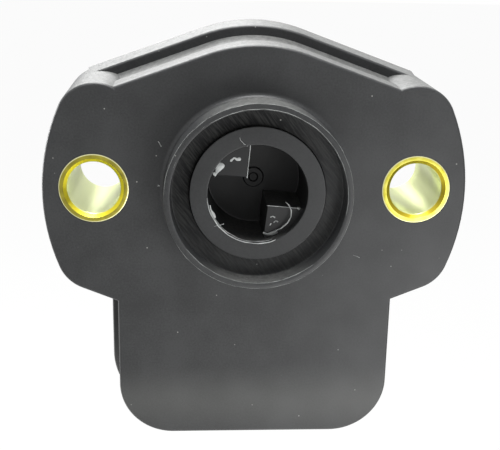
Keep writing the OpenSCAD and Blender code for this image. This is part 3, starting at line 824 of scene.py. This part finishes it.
def build_flash():
    """Thin flash on the collar's rim, a pale strand along its outer edge as a painted highlight, and
    three chips on the mating face.
    """
    rim = COLLAR_R - COLLAR_RIM_T
    return [
        arc_strand("rim_flash_upper", rim + 0.12, 0.02 - COLLAR_H, -12, 128, 0.055, seed=7),
        arc_strand("rim_flash_left", rim + 0.2, 0.03 - COLLAR_H, 118, 168, 0.04, seed=8),
        # A pale strand along the collar's outer edge: a painted highlight, not flash
        arc_strand("rim_outer_painted_highlight", COLLAR_R - 0.05, 0.06 - COLLAR_H, -150, 178, 0.035, seed=11),
        arc_strand("rim_flash_lower", rim + 0.05, 0.04 - COLLAR_H, 215, 312, 0.05, seed=9),
        strand("face_chip", [(-11.45, 0.0, 5.6), (-11.2, -0.05, 5.2), (-11.1, 0.0, 4.95)],
               (0.05, 0.13, 0.06), 0.5),
        strand("face_sliver", [(11.85, 0.0, -8.15), (12.3, -0.03, -8.3), (12.7, 0.0, -8.5)],
               (0.03, 0.05, 0.03)),
        strand("face_speck", [(-11.65, 0.0, 0.33), (-11.3, -0.02, 0.36)], (0.05, 0.06)),
    ]


# Materials: how a shader's nodes are added

def linear(code):
    """Turn an sRGB hex colour to the linear values that a socket takes."""
    out = []
    for k in (1, 3, 5):
        c = int(code[k:k + 2], 16) / 255
        out.append(c / 12.92 if c <= 0.04045 else ((c + 0.055) / 1.055) ** 2.4)
    return (*out, 1.0)


def new_material(name):
    mat = bpy.data.materials.new(name)
    mat.use_nodes = True
    tree = mat.node_tree
    tree.nodes.clear()
    return mat, tree


def add(tree, kind, settings=None, **links):
    """Add a node: settings are its own values, links are sockets, each as a value or a socket.

    A socket goes by its name, or by its number after an i where several share a name.
    """
    n = tree.nodes.new(kind)
    for key, value in (settings or {}).items():
        setattr(n, key, value)
    for key, value in links.items():
        key = key.replace("_", " ")
        socket = n.inputs[int(key[1:])] if key[0] == "i" and key[1:].isdigit() else n.inputs[key]
        if isinstance(value, bpy.types.NodeSocket):
            tree.links.new(value, socket)
        else:
            socket.default_value = value
    return n


def maths(tree, operation, *values):
    """What a Math node makes of its values."""
    links = {f"i{k}": value for k, value in enumerate(values)}
    return add(tree, "ShaderNodeMath", {"operation": operation}, **links).outputs[0]


def blend(tree, share, first, second):
    """The first colour, with the second over this share of it."""
    return add(tree, "ShaderNodeMix", {"data_type": "RGBA"}, i0=share, i6=first, i7=second).outputs[2]


def spread(tree, value, low, high, first=0.0, last=1.0, ease="LINEAR"):
    """A value between low and high, brought into the range from first to last and held inside it."""
    return add(tree, "ShaderNodeMapRange", {"interpolation_type": ease}, i0=value, i1=low, i2=high,
               i3=first, i4=last).outputs[0]


def noise(tree, at, scale, detail, rough=0.5):
    return add(tree, "ShaderNodeTexNoise", Vector=at, Scale=scale, Detail=detail,
               Roughness=rough).outputs[0]


def finished(mat, tree, height, strength, depth, **finish):
    """Close a material with its relief, whose depth is in millimetres, and its surface's values."""
    relief = add(tree, "ShaderNodeBump", Height=height, Strength=strength, Distance=depth * MM)
    s = add(tree, "ShaderNodeBsdfPrincipled", Normal=relief.outputs[0], **finish)
    add(tree, "ShaderNodeOutputMaterial", Surface=s.outputs[0])
    return mat


def in_millimetres(tree, coords):
    """The place on the piece, in millimetres, so that a pattern's scale is in repeats a millimetre."""
    return add(tree, "ShaderNodeMapping", Vector=coords.outputs["Object"],
               Scale=[1 / MM] * 3).outputs[0]


def from_axis(tree, x, z):
    """Distance from the line along Y where x and z are nought."""
    flat = add(tree, "ShaderNodeCombineXYZ", X=x, Z=z)
    return add(tree, "ShaderNodeVectorMath", {"operation": "LENGTH"}, i0=flat.outputs[0]).outputs[1]


def dress(obj, mat):
    """Give a piece one material all over."""
    obj.data.materials.clear()
    obj.data.materials.append(mat)
    for p in obj.data.polygons:
        p.material_index = 0


# Plain finishes

# The fine grain repeats this many times in one of the broad patches, and is this deep
GRAIN_IN_PATCH = 14
GRAIN_DEPTH = 0.006


def patchy(name, base, second, patches, rough, metal=0.0, coat=0.0):
    """Two close tones in broad patches, with a fine grain in the gloss and the relief.

    patches is how many lie in a millimetre.
    """
    mat, t = new_material(name)
    at = in_millimetres(t, add(t, "ShaderNodeTexCoord"))
    broad = noise(t, at, patches, 4.0)
    fine = noise(t, at, patches * GRAIN_IN_PATCH, 2.0)
    colour = blend(t, spread(t, broad, 0.35, 0.65), linear(base), linear(second))
    gloss = spread(t, fine, 0.3, 0.7, rough - 0.06, rough + 0.06)
    return finished(mat, t, fine, 0.6, GRAIN_DEPTH, Base_Color=colour, Roughness=gloss, Metallic=metal,
                    Coat_Weight=coat)


# Moulded plastic

# Repeats a millimetre: clouds of resin and filler 6 mm wide, the mould's grain of about 0.2 mm, which
# is drawn coarser than the real one so that it shows, cells of 1.2 mm with at most one pale fleck of
# filler each, and spots of settled dust
CLOUDS = 0.16
MOULD_GRAIN = 4.5
FLECK_CELLS = 0.85
DUST_SPOTS = 1.7
MOULD_GRAIN_DEPTH = 0.012
# Colour and share of the painted shade inside the drive socket
SOCKET_SHADE = "#0c0c0d"
SOCKET_SHADE_SHARE = 0.7
# Colour of the painted shadow on the collar's floor, the plastic's specular level, and its lower level
# under that painted shadow
PAINTED_SHADOW = "#0f0f10"
SHINE = 0.4
SHADOWED_SHINE = 0.03
STREAK_SLANT = 52

# Rings about the rotor's axis, as two radii and two depths: the collar's floor and the drive socket
COLLAR_FLOOR = (BARREL_R, COLLAR_FLOOR_R + 0.05, COLLAR_FLOOR_Y - 0.1, COLLAR_FLOOR_Y + 0.1)
DRIVE_SOCKET = (-0.1, SOCKET_R + 0.02, 0.2 - BARREL_PROUD, SOCKET_FLOOR_Y + 0.1)

# The painted reflection, a paler band low on the tongue: its height, its half-width and its strength
TONGUE_REFLECTION = (4.2 - TONGUE_DROP, 5.5, 0.115)


def zone(t, radius, depth, r0, r1, y0, y1):
    """One inside a ring about the rotor's axis between two radii and two depths, nought outside it."""
    near = maths(t, "COMPARE", radius, (r0 + r1) / 2, (r1 - r0) / 2)
    level = maths(t, "COMPARE", depth, (y0 + y1) / 2, (y1 - y0) / 2)
    return maths(t, "MULTIPLY", near, level)


def painted_reflection_band(t, colour, height, band, pale):
    """A paler band of painted reflection across the part, strongest at its middle."""
    middle, half, strength = band
    off = maths(t, "ABSOLUTE", maths(t, "SUBTRACT", height, middle))
    return blend(t, spread(t, off, 0.0, half, strength, 0.0, "SMOOTHSTEP"), colour, linear(pale))


def painted_recess_shade(t, colour, ring):
    """Painted shade that darkens the plastic inside a ring."""
    return blend(t, maths(t, "MULTIPLY", ring, SOCKET_SHADE_SHARE), colour, linear(SOCKET_SHADE))


def slanting_streaks(t, at, ring):
    """Slanting streaks on the floor inside a ring, as the photo shows them."""
    slant = add(t, "ShaderNodeMapping", {"vector_type": "TEXTURE"}, Vector=at,
                Rotation=(0, math.radians(STREAK_SLANT), 0), Scale=(2.0, 1, 0.2))
    streaks = noise(t, slant.outputs[0], 1.0, 3.0)
    return maths(t, "MULTIPLY", spread(t, streaks, 0.42, 0.66), ring)


def painted_floor_shadow(t, parts, radius, ring, ridge):
    """How much painted shadow lies inside a ring: most at the upper left and next to the rotor."""
    slope = maths(t, "SUBTRACT", parts.outputs[2], parts.outputs[0])
    shadow_share = maths(t, "MULTIPLY", spread(t, slope, -9.0, 9.0, 0.45, 1.0),
                  spread(t, radius, ridge[0], ridge[1], 1.0, 0.6))
    return maths(t, "MULTIPLY", ring, shadow_share)


def flecks_and_dust(t, at, coords, fleck_share):
    """Share of the plastic under pale flecks of filler and under the dust that lies on its ledges."""
    cells = add(t, "ShaderNodeTexVoronoi", Vector=at, Scale=FLECK_CELLS)
    spot = spread(t, cells.outputs["Distance"], 0.035, 0.09, 1.0, 0.0)
    cell = add(t, "ShaderNodeSeparateColor", Color=cells.outputs["Color"])
    fleck = maths(t, "MULTIPLY", spot, maths(t, "LESS_THAN", cell.outputs[0], fleck_share))
    lie = add(t, "ShaderNodeSeparateXYZ", Vector=coords.outputs["Normal"])
    ledge = spread(t, lie.outputs[2], 0.75, 0.98)
    powder = spread(t, noise(t, at, DUST_SPOTS, 6.0, 0.75), 0.4, 0.74, 0.1, 0.42)
    return maths(t, "MAXIMUM", fleck, maths(t, "MULTIPLY", ledge, powder))


def moulded(name, base, second, dust, fleck_share, ridge=None, shaded_recess=None, reflection_band=None):
    """Filled black plastic: mottled, finely grained, with pale flecks and dust that lies on its ledges.

    ridge is a ring that carries slanting streaks and painted shadow. The next argument is a ring that
    painted shade darkens, and the last is a paler band of painted reflection across the part.
    """
    mat, t = new_material(name)
    coords = add(t, "ShaderNodeTexCoord")
    at = in_millimetres(t, coords)
    broad = noise(t, at, CLOUDS, 5.0)
    fine = noise(t, at, MOULD_GRAIN, 3.0)
    mixed = maths(t, "MULTIPLY_ADD", fine, 0.75, broad)
    colour = blend(t, spread(t, mixed, 0.68, 1.07), linear(base), linear(second))
    height = fine
    shine = SHINE
    parts = add(t, "ShaderNodeSeparateXYZ", Vector=at)
    radius = from_axis(t, parts.outputs[0], parts.outputs[2])
    # A paler band low on the tongue, a painted reflection
    if reflection_band:
        colour = painted_reflection_band(t, colour, parts.outputs[2], reflection_band, dust)
    # Painted shade darkens the inside of the drive socket
    if shaded_recess:
        colour = painted_recess_shade(t, colour, zone(t, radius, parts.outputs[1], *shaded_recess))
    # Slanting streaks on the collar's floor, and painted shadow that is strongest at the upper left and
    # next to the rotor
    if ridge:
        ring = zone(t, radius, parts.outputs[1], *ridge)
        streaks = slanting_streaks(t, at, ring)
        shade = painted_floor_shadow(t, parts, radius, ring, ridge)
        shine = spread(t, shade, 0.0, 1.0, SHINE, SHADOWED_SHINE)
        colour = blend(t, shade, colour, linear(PAINTED_SHADOW))
        colour = blend(t, maths(t, "MULTIPLY", streaks, 0.06), colour, linear(dust))
        height = maths(t, "MULTIPLY_ADD", streaks, 0.6, height)
    colour = blend(t, flecks_and_dust(t, at, coords, fleck_share), colour, linear(dust))
    gloss = spread(t, fine, 0.3, 0.7, 0.38, 0.52)
    return finished(mat, t, height, 0.5, MOULD_GRAIN_DEPTH, Base_Color=colour, Roughness=gloss,
                    Specular_IOR_Level=shine)


# Zinc passivation

# Repeats a millimetre: clouds in the film of about 1.2 mm, and turning marks across and along
ZINC_CLOUDS = 0.8
TURNING_MARKS = 9.0
BORE_MARKS = 5.0
MARK_DEPTH = 0.006
# Pale colour of the painted highlight round the outer edge
EDGE_HIGHLIGHT = "#e8e6b4"
BORE = "#d9e0a2"
BORE_ROUGH = 0.28
BORE_METAL = 0.6


def passivated(name, face, cone):
    """Yellow zinc passivation with painted light: the turned faces darker as a painted reflection, the
    colour round the hole and the outer edge as painted highlights, and the wall of the screw hole pale.

    face is the darker and the lighter colour of the film, and cone is the colour round the hole.
    """
    mat, t = new_material(name)
    at = in_millimetres(t, add(t, "ShaderNodeTexCoord"))
    parts = add(t, "ShaderNodeSeparateXYZ", Vector=at)
    across = maths(t, "SUBTRACT", maths(t, "ABSOLUTE", parts.outputs[0]), HOLE_SPACING / 2)
    radius = from_axis(t, across, parts.outputs[2])
    cone_r = BUSHING_BORE_R + BUSHING_CHAMFER
    edge_r = BUSHING_R - BUSHING_EDGE
    out = spread(t, radius, BUSHING_BORE_R + 0.02, BUSHING_BORE_R + 0.08)
    flat_face = spread(t, radius, cone_r - 0.06, cone_r)
    rim = spread(t, radius, edge_r - 0.02, edge_r + 0.04)
    cloud = noise(t, at, ZINC_CLOUDS, 4.0)
    tint = add(t, "ShaderNodeValToRGB", Fac=cloud)
    for stop, place, code in zip(tint.color_ramp.elements, (0.35, 0.68), face):
        stop.position = place
        stop.color = linear(code)
    # Painted light by zone: the cone round the hole takes its own colour as a painted highlight, and the
    # outer edge a pale painted highlight
    colour = blend(t, flat_face, linear(cone), tint.outputs[0])
    colour = blend(t, rim, colour, linear(EDGE_HIGHLIGHT))
    colour = blend(t, out, linear(BORE), colour)
    lathe = maths(t, "MULTIPLY", radius, TURNING_MARKS)
    along = maths(t, "MULTIPLY_ADD", parts.outputs[1], BORE_MARKS, lathe)
    grooves = add(t, "ShaderNodeTexNoise", {"noise_dimensions": "1D"}, W=along, Scale=1.0, Detail=2.0)
    gloss = add(t, "ShaderNodeMix", {"data_type": "FLOAT"}, i0=out, i2=BORE_ROUGH,
                i3=spread(t, cloud, 0.3, 0.7, 0.3, 0.46))
    return finished(mat, t, grooves.outputs[0], 0.4, MARK_DEPTH, Base_Color=colour,
                    Roughness=gloss.outputs[0], Metallic=spread(t, out, 0.0, 1.0, BORE_METAL, 1.0))


# The pieces, what they stand for and what they ride on

shell = build_shell()
rotor = build_rotor()
bushings = [build_bushing(side) for side in (-1, 1)]

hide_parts("housing")
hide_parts("rotor")
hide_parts("bushing_left")
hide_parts("bushing_right")
for o in [shell] + bushings:
    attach(o, "sensor_body")
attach(rotor, "rotor")
burrs = build_burrs()
flash = build_flash()
for o in burrs:
    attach(o, "rotor")
for o in flash:
    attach(o, "sensor_body")

# What the new pieces are made of

# Glass-filled black polyester: dull near-black, greyer in patches, with pale flecks of filler, painted
# shadow on the collar's floor and a paler band of painted reflection low on the tongue
dress(shell, moulded("housing_polyester", "#2c2d2e", "#3b3c3d", "#a9aaa6", fleck_share=0.14,
                     ridge=COLLAR_FLOOR, reflection_band=TONGUE_REFLECTION))
# The rotor's nylon is more even than the housing, and painted shade darkens the inside of its socket
dress(rotor, moulded("rotor_nylon", "#2c2d2e", "#363738", "#9a9b98", fleck_share=0.02,
                     shaded_recess=DRIVE_SOCKET))
# Yellow passivated steel, painted darker olive on the left and lighter lemon on the right as painted
# shade and light, with a pale screw hole in both
dress(bushings[0], passivated("passivated_steel_painted_shade", ("#8d853a", "#aca240"), "#f2e244"))
dress(bushings[1], passivated("passivated_steel_painted_light", ("#cbc13f", "#dcd670"), "#c9b437"))

# Torn burrs and flakes catch the light: pale, slightly bluish and waxy
burr_mat = patchy("torn_flash", "#a9adad", "#d9dcdb", 1.4, 0.4)
for o in burrs:
    dress(o, burr_mat)
# The strands on the collar's rim, flash and a painted highlight along its outer edge, are a duller grey
# than the fresh burrs
rim_flash_and_highlight_mat = patchy("rim_flash_and_painted_highlight", "#6e7170", "#9b9e9c", 1.2, 0.42)
for o in flash:
    dress(o, rim_flash_and_highlight_mat)

# What each of the CAD's own meshes is made of
CARRIED = {
    # Moulded rubber: soft black with no clear highlight
    "rotor_seal": patchy("nitrile_rubber", "#161617", "#1f1f20", 0.8, 0.55),
    # Natural acetal: milky white with a waxy sheen
    "thrust_washer": patchy("acetal_washer", "#dcd9cd", "#e8e5da", 0.3, 0.42),
    # Drawn spring wire: grey steel with long soft highlights
    "return_spring": patchy("spring_wire", "#8b8f94", "#a3a7ab", 0.9, 0.3, metal=1.0),
    # Rolled spring strip: lighter and smoother than the wire
    "wave_washer": patchy("spring_strip", "#9a9ea2", "#b0b3b6", 0.9, 0.28, metal=1.0),
    # Stamped contact alloy with a flash of gold: warm yellow and bright
    "wiper_contact": patchy("gold_flashed_alloy", "#c79c45", "#dcb765", 0.9, 0.25, metal=1.0),
    # Polyimide film: clear amber brown under a thin gloss
    "element_film": patchy("polyimide_film", "#8a5614", "#9c6620", 0.3, 0.35, coat=0.3),
    # Glass and epoxy laminate: dull green, a little cloudy
    "element_backing": patchy("glass_epoxy_laminate", "#55663f", "#64754b", 0.9, 0.5),
    # Printed carbon ink: flat black, finely mottled
    "resistor_track": patchy("carbon_print", "#141416", "#1d1d20", 1.5, 0.45),
    # The collector's carbon holds more graphite, so it is greyer and a little shinier
    "collector_track": patchy("carbon_print_collector", "#1c1c1f", "#26262a", 1.5, 0.4),
    # Printed silver ink: pale grey with a broken metal sheen
    "conductor_traces": patchy("silver_print", "#b4b6b9", "#c9cbcd", 1.5, 0.4, metal=0.8),
    # Tinned bronze blade: warm white metal, softly clouded
    "terminal_supply": patchy("tinned_bronze", "#b9b7b1", "#cfcdc7", 0.6, 0.3, metal=1.0),
    # Drawn brass: yellow metal with a soft shine
    "terminal_eyelets": patchy("brass_eyelet", "#c6a14c", "#d8b767", 0.9, 0.3, metal=1.0),
    # The cover's polyester is the housing's, a shade darker and with fewer flecks
    "rear_cover": moulded("cover_polyester", "#2a2b2c", "#38393a", "#8f908d", fleck_share=0.03),
    # Cured sealant: deep black and glossy, as it sets from a liquid
    "cover_sealant": patchy("cured_sealant", "#121213", "#1b1b1c", 0.5, 0.2, coat=0.4),
}
CARRIED["terminal_signal"] = CARRIED["terminal_ground"] = CARRIED["terminal_supply"]
for name, mat in CARRIED.items():
    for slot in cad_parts[name].material_slots:
        slot.material = mat

# Camera at the photo's place, with the focal length and the width of the photo in its pixels

CAMERA_AT = Vector((-7.2, -103.5, 25.7))
YAW, PITCH, ROLL = (math.radians(a) for a in (3.60, 16.18, 1.10))
FOCAL_PX = 908.7
PHOTO_W_PX = 500
SENSOR_W = 36

forward = Vector((math.sin(YAW) * math.cos(PITCH), math.cos(YAW) * math.cos(PITCH), -math.sin(PITCH)))
right = Vector((math.cos(YAW), -math.sin(YAW), 0))
up = right.cross(forward)
right, up = (right * math.cos(ROLL) + up * math.sin(ROLL), up * math.cos(ROLL) - right * math.sin(ROLL))
camera_data = bpy.data.cameras.new("camera")
camera_data.sensor_width = SENSOR_W
camera_data.lens = FOCAL_PX / PHOTO_W_PX * SENSOR_W
camera_data.clip_start = 5 * MM
camera = bpy.data.objects.new("camera", camera_data)
bpy.context.collection.objects.link(camera)
camera.matrix_world = Matrix.Translation(CAMERA_AT * MM) @ Matrix(
    [[right[i], up[i], -forward[i]] for i in range(3)]).to_4x4()
bpy.context.scene.camera = camera


# Lamps

def lamp(name, place, aim, size, watts):
    """A round soft lamp at a place, aimed at a point."""
    data = bpy.data.lights.new(name, "AREA")
    data.shape = "DISK"
    data.size = size * MM
    data.energy = watts
    obj = bpy.data.objects.new(name, data)
    bpy.context.collection.objects.link(obj)
    place, aim = Vector(place) * MM, Vector(aim) * MM
    obj.location = place
    obj.rotation_euler = (aim - place).to_track_quat("-Z", "Y").to_euler()


# The three softboxes light the upper edges and the left side. The two small lamps lift the front, from
# the right and from below
lamp("rear_softbox", (-80, 320, 300), (0, 0, 0), 360, 1.7)
lamp("left_softbox", (-340, 130, 20), (-20, 5, 0), 160, 1.6)
lamp("overhead_softbox", (0, -10, 400), (0, 0, 0), 220, 3.2)
lamp("right_front_lamp", (72, -100, -62), (5, 0, -10), 90, 0.085)
lamp("low_front_lamp", (15, -55, -100), (0, 0, -30), 50, 0.02)


# Floor and backdrop

# The share of white that the camera and a mirror see in the paper, and the world's level elsewhere
PAPER_SEEN = 0.96
PAPER_MIRRORED = 0.6
WORLD_LEVEL = 0.14
FLOOR_SIZE = 9000
FLOOR_Z = -160


def white_paper():
    """Matt white paper, which the camera and shiny pieces see nearly white, and which keeps shadows."""
    mat, t = new_material("white_paper")
    path = add(t, "ShaderNodeLightPath")
    mirrored = maths(t, "MULTIPLY", path.outputs["Is Glossy Ray"], PAPER_MIRRORED)
    seen = maths(t, "MULTIPLY_ADD", path.outputs["Is Camera Ray"], PAPER_SEEN, mirrored)
    paper = add(t, "ShaderNodeBsdfDiffuse", Color=linear("#e8e8e6"))
    glow = add(t, "ShaderNodeEmission", Color=(1, 1, 1, 1), Strength=1.0)
    both = add(t, "ShaderNodeMixShader", i0=seen, i1=paper.outputs[0], i2=glow.outputs[0])
    add(t, "ShaderNodeOutputMaterial", Surface=both.outputs[0])
    return mat


def studio_world():
    """A world that is white behind the object and in mirrors, and lights it at a low level."""
    world = bpy.data.worlds.new("studio")
    bpy.context.scene.world = world
    world.use_nodes = True
    t = world.node_tree
    t.nodes.clear()
    path = add(t, "ShaderNodeLightPath")
    outside = maths(t, "MAXIMUM", path.outputs["Is Camera Ray"], path.outputs["Is Glossy Ray"])
    outside = maths(t, "MAXIMUM", outside, path.outputs["Is Transmission Ray"])
    back = add(t, "ShaderNodeBackground", Color=(1, 1, 1, 1),
               Strength=spread(t, outside, 0.0, 1.0, WORLD_LEVEL, 1.0))
    add(t, "ShaderNodeOutputWorld", Surface=back.outputs[0])


deselect()
bpy.ops.mesh.primitive_plane_add(size=FLOOR_SIZE * MM)
floor = bpy.context.object
floor.name = "studio_floor"
shift(floor, z=FLOOR_Z)
dress(floor, white_paper())
studio_world()

bpy.context.scene.view_settings.view_transform = "Standard"
